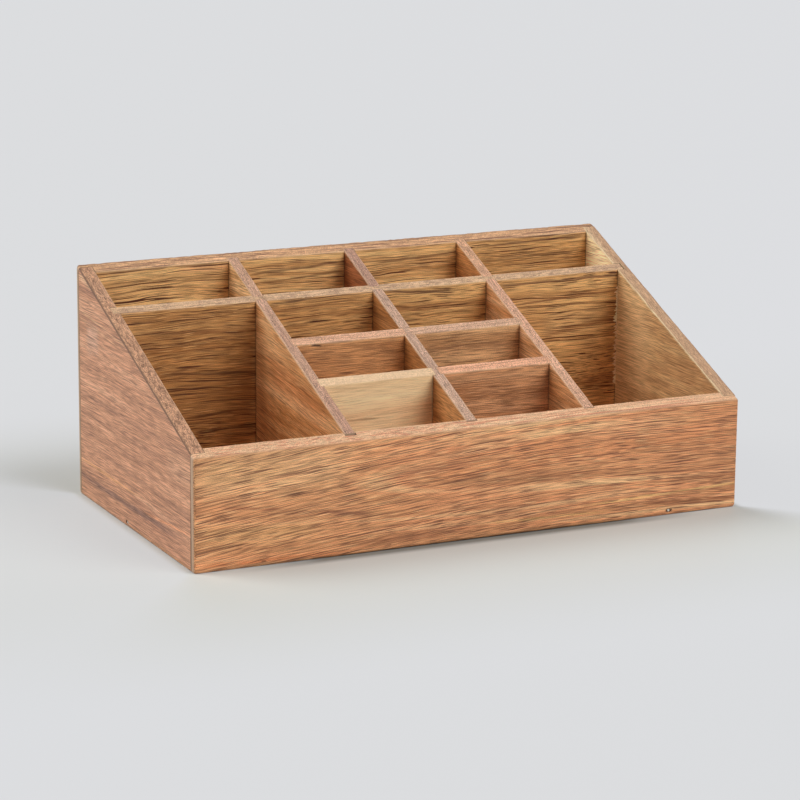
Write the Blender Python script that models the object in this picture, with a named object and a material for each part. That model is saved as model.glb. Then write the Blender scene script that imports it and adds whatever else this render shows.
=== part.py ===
"""Desktop makeup organizer in oiled hardwood, with a sloping top and twelve open compartments.

Metres, +Z up. The origin lies under the middle of the footprint, and the low front faces -Y.
Every board stands upright between the sloping top plane and the table or the bottom panel.
The front and back panels are rabbeted over the ends of the sides, and every divider is housed in
the boards that it meets, so the whole top can be sanded flush in one plane.
"""
from math import cos, pi, sin

import bmesh
import bpy
from mathutils import Matrix, Vector

# Overall size
WIDTH = 0.300
DEPTH = 0.160
BACK_HEIGHT = 0.1215
FRONT_HEIGHT = 0.057

# Boards
FRONT_THICKNESS = 0.0072
BACK_THICKNESS = 0.0083
SIDE_THICKNESS = 0.0075
BOTTOM_THICKNESS = 0.0050
CROSS_THICKNESS = 0.0055
DIVIDER_THICKNESS = 0.0060

# Compartments: the two side cells and the front row take what these leave
CELL_WIDTH = 0.0600
REAR_ROW_DEPTH = 0.0305
BACK_ROW_DEPTH = 0.0325
MIDDLE_ROW_DEPTH = 0.0275

# Joinery
CORNER_LIP = 0.0036
CROSS_HOUSING = 0.0035
BACK_HOUSING = 0.0025
HOUSING = 0.0015
JOINT_GAP = 0.0003

# Softened edges
EDGE_ROUND = 0.0015
EDGE_SEGMENTS = 3
ARRIS = 0.0004

# Pins that hold the bottom panel
PIN_HEAD_RADIUS = 0.0007
PIN_SHANK_RADIUS = 0.0005
PIN_HEAD_HEIGHT = 0.0008
PIN_LENGTH = 0.0180
PIN_POINT = 0.0018
PIN_RECESS = 0.0004
PIN_FROM_CORNER = 0.0396
SIDE_PIN_BEHIND_MIDDLE = 0.0100
PIN_SIDES = 12

# How far a cutter reaches past the wood that it cuts
OVERCUT = 0.0040

# Places worked out from the sizes above
FRONT = -DEPTH / 2
BACK = DEPTH / 2
LEFT = -WIDTH / 2
RIGHT = WIDTH / 2
INNER_FRONT = FRONT + FRONT_THICKNESS
INNER_BACK = BACK - BACK_THICKNESS
INNER_LEFT = LEFT + SIDE_THICKNESS
INNER_RIGHT = RIGHT - SIDE_THICKNESS
FLOOR = BOTTOM_THICKNESS + JOINT_GAP
CROSS_BACK = INNER_BACK - REAR_ROW_DEPTH
CROSS_FRONT = CROSS_BACK - CROSS_THICKNESS
SHORT_BACK_Y = CROSS_FRONT - BACK_ROW_DEPTH - DIVIDER_THICKNESS / 2
SHORT_FRONT_Y = SHORT_BACK_Y - DIVIDER_THICKNESS - MIDDLE_ROW_DEPTH
DIVIDER_PITCH = CELL_WIDTH + DIVIDER_THICKNESS
COLUMNS = {"left": -DIVIDER_PITCH, "centre": 0.0, "right": DIVIDER_PITCH}

# Wood colours, as they look on a screen from 0 to 255
WOOD_COLOURS = {
    "front_panel": (200, 145, 100),
    "back_panel": (176, 130, 78),
    "left_side": (186, 136, 110),
    "right_side": (190, 148, 104),
    "bottom_panel": (172, 120, 80),
    "cross_divider": (150, 98, 58),
    "left_divider_rear": (184, 138, 96),
    "left_divider_front": (170, 112, 74),
    "centre_divider_rear": (140, 82, 52),
    "centre_divider_front": (166, 112, 72),
    "right_divider_rear": (160, 104, 64),
    "right_divider_front": (168, 114, 76),
    "short_divider_left_back": (160, 104, 72),
    "short_divider_left_front": (206, 170, 122),
    "short_divider_right_back": (158, 108, 70),
    "short_divider_right_front": (164, 98, 66),
}
WOOD_ROUGHNESS = 0.6
PIN_COLOUR = (176, 170, 158)
PIN_ROUGHNESS = 0.35


def clear_scene():
    """Remove every object that the file opened with."""
    for item in list(bpy.data.objects):
        bpy.data.objects.remove(item, do_unlink=True)


def top_height(y):
    """Height of the sloping top plane at depth y."""
    return FRONT_HEIGHT + (BACK_HEIGHT - FRONT_HEIGHT) * (y - FRONT) / DEPTH


def linear(channel):
    """One screen colour channel, 0 to 255, as linear light from 0 to 1."""
    share = channel / 255
    return share / 12.92 if share <= 0.04045 else ((share + 0.055) / 1.055) ** 2.4


def make_material(name, colour, roughness, metallic):
    """A Principled material in a plain colour."""
    material = bpy.data.materials.new(name)
    material.use_nodes = True
    shader = material.node_tree.nodes["Principled BSDF"]
    shader.inputs["Base Color"].default_value = (*(linear(channel) for channel in colour), 1.0)
    shader.inputs["Roughness"].default_value = roughness
    shader.inputs["Metallic"].default_value = metallic
    return material


def add_block(mesh, x, y, bottom, lift=0.0):
    """Add a block from bottom up to the sloping plane plus lift, and return its eight corners.

    x and y are (low, high) limits. Corner 4*i + 2*j + k is at x[i], y[j] and the bottom or top.
    """
    corners = []
    for x_at in x:
        for y_at in y:
            corners.append(mesh.verts.new((x_at, y_at, bottom)))
            corners.append(mesh.verts.new((x_at, y_at, top_height(y_at) + lift)))
    for face in ((0, 1, 3, 2), (4, 6, 7, 5), (0, 4, 5, 1), (2, 3, 7, 6), (0, 2, 6, 4), (1, 5, 7, 3)):
        mesh.faces.new([corners[i] for i in face])
    return corners


def soften(mesh, edges, width, segments):
    """Round the given edges of a mesh."""
    bmesh.ops.bevel(mesh, geom=edges, offset=width, offset_type="OFFSET", segments=segments,
                    profile=0.5, affect="EDGES", clamp_overlap=True)


def finish_object(mesh, name, foot=(0.0, 0.0, 0.0)):
    """Turn a bmesh in the organizer's coordinates into a linked object with its origin at foot."""
    bmesh.ops.recalc_face_normals(mesh, faces=mesh.faces)
    bmesh.ops.translate(mesh, verts=mesh.verts, vec=-Vector(foot))
    data = bpy.data.meshes.new(name)
    mesh.to_mesh(data)
    mesh.free()
    item = bpy.data.objects.new(name, data)
    item.location = foot
    bpy.context.scene.collection.objects.link(item)
    return item


def board_foot(x, y, bottom):
    """The middle of a board's foot, where its origin lies."""
    return (x[0] + x[1]) / 2, (y[0] + y[1]) / 2, bottom


def hide_cutter(item):
    """Mark an object as a cutter, which only shapes others."""
    item.hide_render = True
    item.display_type = "WIRE"
    return item


def make_cutter(name, blocks):
    """One cutter from several separate blocks, each ((x low, x high), (y low, y high), bottom)."""
    mesh = bmesh.new()
    for x, y, bottom in blocks:
        add_block(mesh, x, y, bottom, OVERCUT)
    return hide_cutter(finish_object(mesh, name))


def cut(item, cutter, operation="DIFFERENCE"):
    """Shape an object with a cutter through a Boolean modifier."""
    modifier = item.modifiers.new(cutter.name, "BOOLEAN")
    modifier.operation = operation
    modifier.solver = "EXACT"
    modifier.object = cutter


def finish_board(item, organizer):
    """Give a board its own wood material and hang it under the organizer's empty."""
    material = make_material(f"wood_{item.name}", WOOD_COLOURS[item.name], WOOD_ROUGHNESS, 0.0)
    item.data.materials.append(material)
    item.parent = organizer


def make_envelope():
    """The whole outer form with its rounded edges, which the four walls are trimmed to."""
    mesh = bmesh.new()
    add_block(mesh, (LEFT, RIGHT), (FRONT, BACK), 0.0)
    soften(mesh, list(mesh.edges), EDGE_ROUND, EDGE_SEGMENTS)
    return hide_cutter(finish_object(mesh, "outer_form"))


def make_inner_flare():
    """A frame-shaped cutter that takes the inner top arrises off the four walls.

    Its sides slope outwards at 45 degrees and cross the inner faces one ARRIS below the top.
    """
    mesh = bmesh.new()
    rings = []
    for spread in (-ARRIS, 2 * ARRIS):
        plan = [(INNER_LEFT - spread, INNER_FRONT - spread), (INNER_RIGHT + spread, INNER_FRONT - spread),
                (INNER_RIGHT + spread, INNER_BACK + spread), (INNER_LEFT - spread, INNER_BACK + spread)]
        rings.append([mesh.verts.new((x, y, top_height(y) + spread - ARRIS)) for x, y in plan])
    low, high = rings
    mesh.faces.new(reversed(low))
    mesh.faces.new(high)
    for i in range(4):
        j = (i + 1) % 4
        mesh.faces.new((low[i], low[j], high[j], high[i]))
    return hide_cutter(finish_object(mesh, "inner_flare"))


def pin_places():
    """Each pin's name, where it enters the wood, and its turn about Z from pointing along +Y."""
    height = BOTTOM_THICKNESS / 2
    left, right = LEFT + PIN_FROM_CORNER, RIGHT - PIN_FROM_CORNER
    return {
        "pin_front_left": ((left, FRONT, height), 0.0),
        "pin_front_right": ((right, FRONT, height), 0.0),
        "pin_back_left": ((left, BACK, height), pi),
        "pin_back_right": ((right, BACK, height), pi),
        "pin_left_side": ((LEFT, SIDE_PIN_BEHIND_MIDDLE, height), -pi / 2),
        "pin_right_side": ((RIGHT, SIDE_PIN_BEHIND_MIDDLE, height), pi / 2),
    }


def add_turned(mesh, place, turn, profile):
    """Add a body turned about a level axis: profile lists (distance along it, radius).

    The axis starts at place and points along +Y, turned about Z. A flat closes each end.
    """
    rings = []
    for along, radius in profile:
        ring = []
        for step in range(PIN_SIDES):
            angle = 2 * pi * (step + 0.5) / PIN_SIDES
            point = Vector((radius * cos(angle), along, radius * sin(angle)))
            ring.append(mesh.verts.new(Matrix.Rotation(turn, 3, "Z") @ point + Vector(place)))
        rings.append(ring)
    for near, far in zip(rings, rings[1:]):
        for step in range(PIN_SIDES):
            after = (step + 1) % PIN_SIDES
            mesh.faces.new((near[step], near[after], far[after], far[step]))
    mesh.faces.new(list(reversed(rings[0])))
    mesh.faces.new(rings[-1])


def make_pins(organizer):
    """The thin wire pins, driven through the walls into the edges of the bottom panel.

    They share one mesh, which starts at the wall's outer face and points along +Y.
    """
    start, end = PIN_RECESS, PIN_RECESS + PIN_LENGTH
    neck = start + PIN_HEAD_HEIGHT
    profile = [(start, PIN_HEAD_RADIUS), (neck, PIN_HEAD_RADIUS), (neck + JOINT_GAP, PIN_SHANK_RADIUS),
               (end - PIN_POINT, PIN_SHANK_RADIUS), (end, PIN_SHANK_RADIUS / 4)]
    mesh = bmesh.new()
    add_turned(mesh, (0.0, 0.0, 0.0), 0.0, profile)
    bmesh.ops.recalc_face_normals(mesh, faces=mesh.faces)
    data = bpy.data.meshes.new("pin")
    mesh.to_mesh(data)
    mesh.free()
    data.shade_smooth()
    data.set_sharp_from_angle(angle=pi / 6)
    data.materials.append(make_material("pin_steel", PIN_COLOUR, PIN_ROUGHNESS, 1.0))
    for name, (place, turn) in pin_places().items():
        pin = bpy.data.objects.new(name, data)
        pin.location = place
        pin.rotation_euler = (0.0, 0.0, turn)
        pin.parent = organizer
        bpy.context.scene.collection.objects.link(pin)


def make_pin_bores():
    """The holes for the pins, open at the outer faces."""
    radius = PIN_HEAD_RADIUS + JOINT_GAP
    mesh = bmesh.new()
    for place, turn in pin_places().values():
        add_turned(mesh, place, turn, [(-OVERCUT, radius), (PIN_RECESS + PIN_LENGTH + JOINT_GAP, radius)])
    return hide_cutter(finish_object(mesh, "pin_bores"))


def around(centre, thickness, clearance=0.0):
    """The (low, high) limits of a board of some thickness, with clearance on both faces."""
    half = thickness / 2 + clearance
    return centre - half, centre + half


def column_slots(y):
    """A housing for each of the three fore-and-aft dividers, between two depths.

    Like every housing it stops level with the top of the bottom panel, where the dividers stand.
    """
    return [(around(x, DIVIDER_THICKNESS, JOINT_GAP), y, BOTTOM_THICKNESS) for x in COLUMNS.values()]


def make_wall(name, x, y, housings, shared):
    """One outer wall: a rough board, trimmed to the outer form and cut for all that enters it."""
    mesh = bmesh.new()
    add_block(mesh, x, y, -OVERCUT, OVERCUT)
    wall = finish_object(mesh, name, board_foot(x, y, 0.0))
    cut(wall, shared["form"], "INTERSECT")
    cut(wall, make_cutter(f"{name}_housings", housings))
    cut(wall, shared["flare"])
    cut(wall, shared["bores"])
    finish_board(wall, shared["organizer"])


def make_front_and_back(shared):
    """The two panels that lap over the ends of the sides, with housings for the dividers."""
    shoulders = ((LEFT - 2 * OVERCUT, INNER_LEFT + JOINT_GAP), (INNER_RIGHT - JOINT_GAP, RIGHT + 2 * OVERCUT))
    rough_x = (LEFT - OVERCUT, RIGHT + OVERCUT)
    front_rabbets = [(x, (FRONT + CORNER_LIP, INNER_FRONT + OVERCUT), -OVERCUT) for x in shoulders]
    front_slots = column_slots((INNER_FRONT - HOUSING - JOINT_GAP, INNER_FRONT + OVERCUT))
    make_wall("front_panel", rough_x, (FRONT - OVERCUT, INNER_FRONT), front_rabbets + front_slots, shared)
    back_rabbets = [(x, (INNER_BACK - OVERCUT, BACK - CORNER_LIP), -OVERCUT) for x in shoulders]
    back_slots = column_slots((INNER_BACK - OVERCUT, INNER_BACK + BACK_HOUSING + JOINT_GAP))
    make_wall("back_panel", rough_x, (INNER_BACK, BACK + OVERCUT), back_rabbets + back_slots, shared)


def make_sides(shared):
    """The two sides, which stand in the rabbets and carry the ends of the cross divider."""
    reach = CROSS_HOUSING + JOINT_GAP
    length = (FRONT + CORNER_LIP + JOINT_GAP, BACK - CORNER_LIP - JOINT_GAP)
    slot_y = (CROSS_FRONT - JOINT_GAP, CROSS_BACK + JOINT_GAP)
    make_wall("left_side", (LEFT - OVERCUT, INNER_LEFT), length,
              [((INNER_LEFT - reach, INNER_LEFT + OVERCUT), slot_y, BOTTOM_THICKNESS)], shared)
    make_wall("right_side", (INNER_RIGHT, RIGHT + OVERCUT), length,
              [((INNER_RIGHT - OVERCUT, INNER_RIGHT + reach), slot_y, BOTTOM_THICKNESS)], shared)


def make_bottom(shared):
    """The bottom panel, which lies between the walls and is pinned through them."""
    mesh = bmesh.new()
    x = (INNER_LEFT + JOINT_GAP, INNER_RIGHT - JOINT_GAP)
    y = (INNER_FRONT + JOINT_GAP, INNER_BACK - JOINT_GAP)
    corners = add_block(mesh, x, y, 0.0)
    for corner in corners[1::2]:
        corner.co.z = BOTTOM_THICKNESS
    panel = finish_object(mesh, "bottom_panel", board_foot(x, y, 0.0))
    cut(panel, shared["bores"])
    finish_board(panel, shared["organizer"])


def make_divider(name, x, y, organizer, housings=()):
    """A divider that stands on the bottom panel and runs along its longer side.

    Its two long top edges are softened, and housings are cut for what ends in it.
    """
    mesh = bmesh.new()
    corners = add_block(mesh, x, y, FLOOR)
    runs_along_x = x[1] - x[0] > y[1] - y[0]
    pairs = ((1, 5), (3, 7)) if runs_along_x else ((1, 3), (5, 7))
    edges = [mesh.edges.get((corners[i], corners[j])) for i, j in pairs]
    soften(mesh, edges, ARRIS, 2)
    divider = finish_object(mesh, name, board_foot(x, y, FLOOR))
    if housings:
        cut(divider, make_cutter(f"{name}_housings", housings))
    finish_board(divider, organizer)


def make_cross_divider(organizer):
    """The long divider from side to side, housed on both faces for the fore-and-aft dividers."""
    depth = HOUSING + JOINT_GAP
    slots = column_slots((CROSS_BACK - depth, CROSS_BACK + OVERCUT))
    slots += column_slots((CROSS_FRONT - OVERCUT, CROSS_FRONT + depth))
    make_divider("cross_divider", (INNER_LEFT - CROSS_HOUSING, INNER_RIGHT + CROSS_HOUSING),
                 (CROSS_FRONT, CROSS_BACK), organizer, slots)


def make_columns(organizer):
    """The three fore-and-aft dividers, each in a rear part and a front part."""
    rear = (CROSS_BACK - HOUSING, INNER_BACK + BACK_HOUSING)
    front = (INNER_FRONT - HOUSING, CROSS_FRONT + HOUSING)
    depth = HOUSING + JOINT_GAP
    faces_used = {"left": (1,), "centre": (-1, 1), "right": (-1,)}
    for name, x_at in COLUMNS.items():
        x = around(x_at, DIVIDER_THICKNESS)
        make_divider(f"{name}_divider_rear", x, rear, organizer)
        slots = []
        for side in faces_used[name]:
            face = x_at + side * DIVIDER_THICKNESS / 2
            slot_x = tuple(sorted((face - side * depth, face + side * OVERCUT)))
            for y_at in (SHORT_BACK_Y, SHORT_FRONT_Y):
                slots.append((slot_x, around(y_at, DIVIDER_THICKNESS, JOINT_GAP), BOTTOM_THICKNESS))
        make_divider(f"{name}_divider_front", x, front, organizer, slots)


def make_short_dividers(organizer):
    """The four short dividers that part the centre block into rows."""
    half = DIVIDER_THICKNESS / 2 - HOUSING
    spans = {"left": (-DIVIDER_PITCH + half, -half), "right": (half, DIVIDER_PITCH - half)}
    for side, x in spans.items():
        for row, y_at in (("back", SHORT_BACK_Y), ("front", SHORT_FRONT_Y)):
            y = around(y_at, DIVIDER_THICKNESS)
            make_divider(f"short_divider_{side}_{row}", x, y, organizer)


def main():
    """Build every board and the pins."""
    clear_scene()
    organizer = bpy.data.objects.new("organizer", None)
    bpy.context.scene.collection.objects.link(organizer)
    shared = {"form": make_envelope(), "flare": make_inner_flare(), "bores": make_pin_bores(),
              "organizer": organizer}
    make_front_and_back(shared)
    make_sides(shared)
    make_bottom(shared)
    make_cross_divider(organizer)
    make_columns(organizer)
    make_short_dividers(organizer)
    make_pins(organizer)


main()
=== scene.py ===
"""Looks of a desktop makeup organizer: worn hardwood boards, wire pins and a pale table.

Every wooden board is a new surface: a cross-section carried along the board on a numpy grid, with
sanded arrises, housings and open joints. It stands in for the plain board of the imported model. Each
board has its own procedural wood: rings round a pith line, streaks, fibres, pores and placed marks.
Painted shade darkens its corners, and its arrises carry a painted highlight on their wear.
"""
import logging
from dataclasses import dataclass
from enum import Enum
from math import cos, pi, radians, sin

import bpy
import numpy as np
from mathutils import Matrix, Vector


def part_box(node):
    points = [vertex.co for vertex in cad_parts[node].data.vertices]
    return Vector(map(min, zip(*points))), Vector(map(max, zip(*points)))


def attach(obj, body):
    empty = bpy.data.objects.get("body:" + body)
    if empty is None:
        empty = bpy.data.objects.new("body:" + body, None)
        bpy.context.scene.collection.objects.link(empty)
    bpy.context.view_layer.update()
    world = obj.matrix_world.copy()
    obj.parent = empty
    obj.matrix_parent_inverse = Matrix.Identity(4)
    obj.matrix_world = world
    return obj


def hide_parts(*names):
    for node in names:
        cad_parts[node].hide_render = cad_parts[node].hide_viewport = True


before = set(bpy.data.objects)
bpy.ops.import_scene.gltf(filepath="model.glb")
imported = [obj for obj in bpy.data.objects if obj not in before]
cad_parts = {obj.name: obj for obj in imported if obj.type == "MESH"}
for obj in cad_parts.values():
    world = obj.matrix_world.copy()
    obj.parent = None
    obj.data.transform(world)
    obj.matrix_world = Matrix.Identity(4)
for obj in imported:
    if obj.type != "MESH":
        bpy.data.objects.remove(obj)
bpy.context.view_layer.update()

LOG = logging.getLogger("makeup_organizer")
Limits = tuple[float, float]
Colour = tuple[int, int, int]
Socket = bpy.types.NodeSocket
Value = float | bpy.types.NodeSocket

# Sizes of the assembled organizer, in metres
WIDTH = 0.300
DEPTH = 0.160
BACK_HEIGHT = 0.1215
FRONT_HEIGHT = 0.057
CORNER_LIP = 0.0036
EDGE_ROUND = 0.0015
INNER_ARRIS = 0.0004
HOUSING_ARRIS = 0.00012
HOUSING_STOP = 0.0050

# Gaps that show on the sanded top: tight joints, those left at the dividers' short front ends
# (left, centre and right), and the notch past the cross divider's right end
TIGHT_GAP = 0.00006
FRONT_END_GAPS = (0.00160, 0.00080, 0.00050)
FRONT_END_TRIM = 0.00060
NOTCH_GAP = 0.00090

# Half the width of a sharp step in the grid, and how far a corner's painted shade reaches from it
LEDGE = 0.00004
NOOK = 0.0007

# Rows of the grid: the first above a foot and above a housing's stop, the margin of the top,
# and the least distance between stations. Edges sharper than the angle stay sharp.
FOOT_ROW, STOP_ROW, TOP_MARGIN, LEAST_STEP = 0.0026, 0.001, 0.0006, 0.00022
SHARP_ANGLE = radians(32)

# Length along the grain and width across it of each part of the figure, in metres
SWAY, CURL, CROWD, BLUSH = (0.110, 0.034), (0.024, 0.010), (0.030, 0.006), (0.060, 0.020)
STREAK, LINE, FIBRE = (0.050, 0.00072), (0.045, 0.00052), (0.013, 0.00033)
SHORT_DASH, LONG_DASH = (0.0125, 0.00056), (0.030, 0.00096)
SPECK, MOTTLE, FRAY = (0.00045, 0.00033), (0.0034, 0.0016), (1 / 55, 1 / 1100)

# Values of each noise between which its part of the figure fades in
BAND_FADE, BLUSH_FADE, LINE_FADE, BLOT_FADE = (0.26, 0.74), (0.42, 0.66), (0.64, 0.70), (0.47, 0.60)
DARK_FADE, LIGHT_FADE, RAY_FADE = (0.50, 0.36), (0.54, 0.70), (0.52, 0.38)
FLECK_FADE, SPECK_FADE, RUB_HIGHLIGHT_FADE = (0.28, 0.72), (0.30, 0.70), (0.40, 0.62)

# Names of the node groups' number inputs, each filled from the field of that name, and of the masks
MARK_INPUTS = ("Along", "Height", "Slope", "Lean", "Half Length", "Half Width", "Reach")
FIGURE_INPUTS = ("Pith Height", "Pith Depth", "Drift", "Tilt", "Sweep", "Band Width", "Warp",
                 "Curl", "Calm")
FIGURE_MASKS = ("Band", "Streak", "Line", "Fibre", "Pore", "Gleam", "Blush", "Speck", "Mottle",
                "Height")


def plane_height(y: np.ndarray | float) -> np.ndarray | float:
    """Height of the sloping top plane: a straight line from the front edge to the back edge."""
    return FRONT_HEIGHT + (BACK_HEIGHT - FRONT_HEIGHT) * (y + DEPTH / 2) / DEPTH


def ripple(at: np.ndarray, step: float, seed: int, count: int = 2048) -> np.ndarray:
    """Smooth random values from -1 to 1 along a line.

    Random heights stand at even steps, and 3t^2 - 2t^3 joins each one to the next.

    Args:
        at: places along the line, in metres.
        step: distance between the random heights, in metres.
        seed: picks the random heights.
        count: how many heights there are before they repeat.

    Returns:
        One value for each place.
    """
    heights = np.random.default_rng(seed).uniform(-1.0, 1.0, count)
    place = at / step + count // 2
    cell = np.floor(place).astype(int)
    t = place - cell
    blend = t * t * (3 - 2 * t)
    return heights[cell % count] * (1 - blend) + heights[(cell + 1) % count] * blend


def linear(colour: Colour) -> tuple[float, float, float, float]:
    """A screen colour, 0 to 255, as linear light with full alpha.

    Args:
        colour: its red, green and blue.

    Returns:
        Linear red, green, blue and 1.
    """
    share = np.array(colour, float) / 255
    light = np.where(share <= 0.04045, share / 12.92, ((share + 0.055) / 1.055) ** 2.4)
    return (*(float(channel) for channel in light), 1.0)


def ring_quads(rings: int, count: int) -> np.ndarray:
    """Four-sided faces between closed rings of points that follow each other.

    Args:
        rings: how many rings.
        count: points in each ring.

    Returns:
        Point numbers, shaped (rings - 1, count, 4).
    """
    near = np.arange(count)
    after = (near + 1) % count
    start = np.arange(rings - 1)[:, None] * count
    return np.stack([start + near, start + after, start + count + after, start + count + near], 2)


def new_mesh(name: str, points: np.ndarray, faces: list) -> bpy.types.Mesh:
    """A mesh of points and faces."""
    mesh = bpy.data.meshes.new(name)
    mesh.from_pydata(points.reshape(-1, 3).tolist(), [], faces)
    return mesh


def new_object(name: str, data: bpy.types.ID) -> bpy.types.Object:
    """An object at the origin, linked to the scene."""
    made = bpy.data.objects.new(name, data)
    bpy.context.scene.collection.objects.link(made)
    return made


class Run(Enum):
    """The way that a board lies: its length and its grain follow this axis."""

    ALONG_X = "x"
    ALONG_Y = "y"


class Outer(Enum):
    """Which face of a board is an outer face of the organizer."""

    NONE = "none"
    LOW = "low"
    HIGH = "high"


@dataclass(frozen=True)
class Mark:
    """A streak or patch of another colour that follows the grain.

    The centre is given by a place along the board and a height. Half sizes are to the faded edge.
    Slope is its rise along the board, and lean moves it along the board with depth in the wood.
    Reach is the depth that it goes to, counted from the board's low face.
    """

    along: float
    height: float
    half_length: float
    half_width: float
    colour: Colour
    strength: float = 0.7
    slope: float = 0.0
    lean: float = 0.0
    reach: float = 0.1


@dataclass(frozen=True)
class Wood:
    """How one board was cut from the tree, and what it looks like oiled.

    Deep, mid, warm and pale are the colours of the growth bands. Top and stain colour the sanded
    top, arris the sanded edges, pale from wear and from a painted highlight, edge a line along the
    outer top edge, and end the end grain. The pith's height and depth place the centre of the rings,
    and drift moves it along the board. Tilt and sweep make the grain climb, warp and curl bend it,
    and calm takes the curl out to the right. Lift brightens the faces against the top. The rest are
    shares, 0 to 1, of parts of the figure.
    """

    deep: Colour
    mid: Colour
    warm: Colour
    pale: Colour
    pore: Colour
    top: Colour
    end: Colour = (189, 159, 133)
    arris: Colour = (219, 181, 140)
    stain: Colour = (139, 99, 75)
    edge: Colour = (155, 107, 77)
    pith_height: float = -0.10
    pith_depth: float = 0.01
    drift: float = 0.0
    tilt: float = 0.0
    sweep: float = 0.0
    band_width: float = 0.006
    warp: float = 0.0016
    curl: float = 0.00016
    calm: float = 0.0
    lift: float = 1.15
    streak: float = 0.19
    lines: float = 0.45
    gleam: float = 0.6
    fleck: float = 0.42
    speck: float = 0.22
    mottle: float = 0.15
    pores: float = 0.62
    top_streak: float = 0.35
    edge_share: float = 0.4
    top_share: float = 0.8
    wear_and_highlight_share: float = 0.5
    marks: tuple[Mark, ...] = ()


@dataclass(frozen=True)
class Housing:
    """A slot or rabbet in one face of a board, between two places along it."""

    start: float
    end: float
    depth: float
    stopped: bool = True


class Graph:
    """A shader tree under construction, with short calls for the nodes that the finishes use."""

    def __init__(self, tree: bpy.types.NodeTree) -> None:
        """Start on a material's, a world's or a group's node tree."""
        self.tree = tree

    def node(self, kind: str, inputs: dict | None = None, **settings: object) -> bpy.types.Node:
        """Add a node, set its options and fill or link its inputs.

        Args:
            kind: the node's type name.
            inputs: socket name or number, with a value or the socket that feeds it.
            settings: the node's own properties.

        Returns:
            The new node.
        """
        made = self.tree.nodes.new(kind)
        for name, value in settings.items():
            setattr(made, name, value)
        self.feed(made, inputs or {})
        return made

    def feed(self, node: bpy.types.Node, inputs: dict) -> None:
        """Fill or link inputs of a node.

        Args:
            node: the node.
            inputs: socket name or number, with a value or the socket that feeds it.
        """
        for key, value in inputs.items():
            if isinstance(value, bpy.types.NodeSocket):
                self.tree.links.new(value, node.inputs[key])
            else:
                node.inputs[key].default_value = value

    def math(self, operation: str, *values: Value) -> Socket:
        """One Math node, or a row of them from the left to join more than two values.

        Args:
            operation: what it does, such as MULTIPLY.
            values: numbers or sockets, in order.

        Returns:
            Its output.
        """
        while len(values) > 2 and operation in ("ADD", "MULTIPLY", "MAXIMUM"):
            values = (self.math(operation, *values[:2]), *values[2:])
        return self.node("ShaderNodeMath", dict(enumerate(values)), operation=operation).outputs[0]

    def times(self, *values: Value) -> Socket:
        """The product of all values."""
        return self.math("MULTIPLY", *values)

    def less(self, first: Value, second: Value) -> Socket:
        """The first value minus the second."""
        return self.math("SUBTRACT", first, second)

    def fit(self, value: Value, factor: Value, offset: Value) -> Socket:
        """A value times a factor, plus an offset."""
        return self.math("MULTIPLY_ADD", value, factor, offset)

    def vector(self, x: Value, y: Value, z: Value) -> Socket:
        """A vector from three numbers or sockets."""
        return self.node("ShaderNodeCombineXYZ", {0: x, 1: y, 2: z}).outputs[0]

    def split(self, place: Socket) -> tuple[Socket, ...]:
        """The three parts of a vector."""
        return tuple(self.node("ShaderNodeSeparateXYZ", {0: place}).outputs)

    def drawn(self, place: tuple[Socket, ...], size: Limits) -> Socket:
        """A place in units of a length along the grain and a width across it."""
        factors = (1 / size[0], 1 / size[1], 1 / size[1])
        return self.vector(*(self.times(part, factor) for part, factor in zip(place, factors)))

    def noise(self, place: Socket, detail: float = 1.0, roughness: float = 0.5,
              output: str = "Fac") -> Socket:
        """Noise of unit scale at a place.

        Args:
            place: where to read it, already divided by the size of the pattern.
            detail: how many finer layers it has.
            roughness: how strong those layers are.
            output: Fac or Color.

        Returns:
            The chosen output.
        """
        return self.node("ShaderNodeTexNoise", {"Vector": place, "Scale": 1.0, "Detail": detail,
                                                "Roughness": roughness}).outputs[output]

    def smooth(self, value: Value, low: Value, high: Value, bottom: Value = 0.0,
               top: Value = 1.0) -> Socket:
        """Map a value smoothly from low..high to bottom..top."""
        return self.node("ShaderNodeMapRange", {0: value, 1: low, 2: high, 3: bottom, 4: top},
                         interpolation_type="SMOOTHSTEP").outputs[0]

    def mix(self, share: Value, first: object, second: object, blend: str = "MIX") -> Socket:
        """Mix a share of the second colour, 0 to 1, into the first."""
        return self.node("ShaderNodeMix", {0: share, 6: first, 7: second}, data_type="RGBA",
                         blend_type=blend).outputs[2]

    def layered(self, colour: Socket, layers: list[tuple[Value, Colour]]) -> Socket:
        """Lay screen colours over a colour, one after the other.

        Args:
            colour: what lies under them.
            layers: the share and the colour of each layer.

        Returns:
            The layered colour.
        """
        for share, shade in layers:
            colour = self.mix(share, colour, linear(shade))
        return colour

    def shaded(self, colour: Socket, factor: Socket) -> Socket:
        """A colour times a grey factor."""
        grey = self.node("ShaderNodeCombineColor", dict.fromkeys(range(3), factor)).outputs[0]
        return self.mix(1.0, colour, grey, "MULTIPLY")

    def ramp(self, value: Socket, stops: list[tuple[float, Colour]]) -> Socket:
        """A colour ramp over screen colours.

        Args:
            value: where to read it, 0 to 1.
            stops: place and colour of each stop, in order.

        Returns:
            The colour.
        """
        made = self.node("ShaderNodeValToRGB", {0: value})
        elements = made.color_ramp.elements
        while len(elements) < len(stops):
            elements.new(0.5)
        for element, (place, colour) in zip(elements, stops):
            element.position = place
            element.color = linear(colour)
        return made.outputs[0]

    def seen(self) -> Socket:
        """1 where the camera, a reflection or a view through glass meets the surface, else 0."""
        path = self.node("ShaderNodeLightPath").outputs
        return self.math("MAXIMUM", path["Is Camera Ray"], path["Is Glossy Ray"],
                         path["Is Transmission Ray"])


def new_material(name: str) -> tuple[bpy.types.Material, Graph, bpy.types.Node]:
    """A node material, with its graph and its Principled shader."""
    made = bpy.data.materials.new(name)
    made.use_nodes = True
    return made, Graph(made.node_tree), made.node_tree.nodes["Principled BSDF"]


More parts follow.
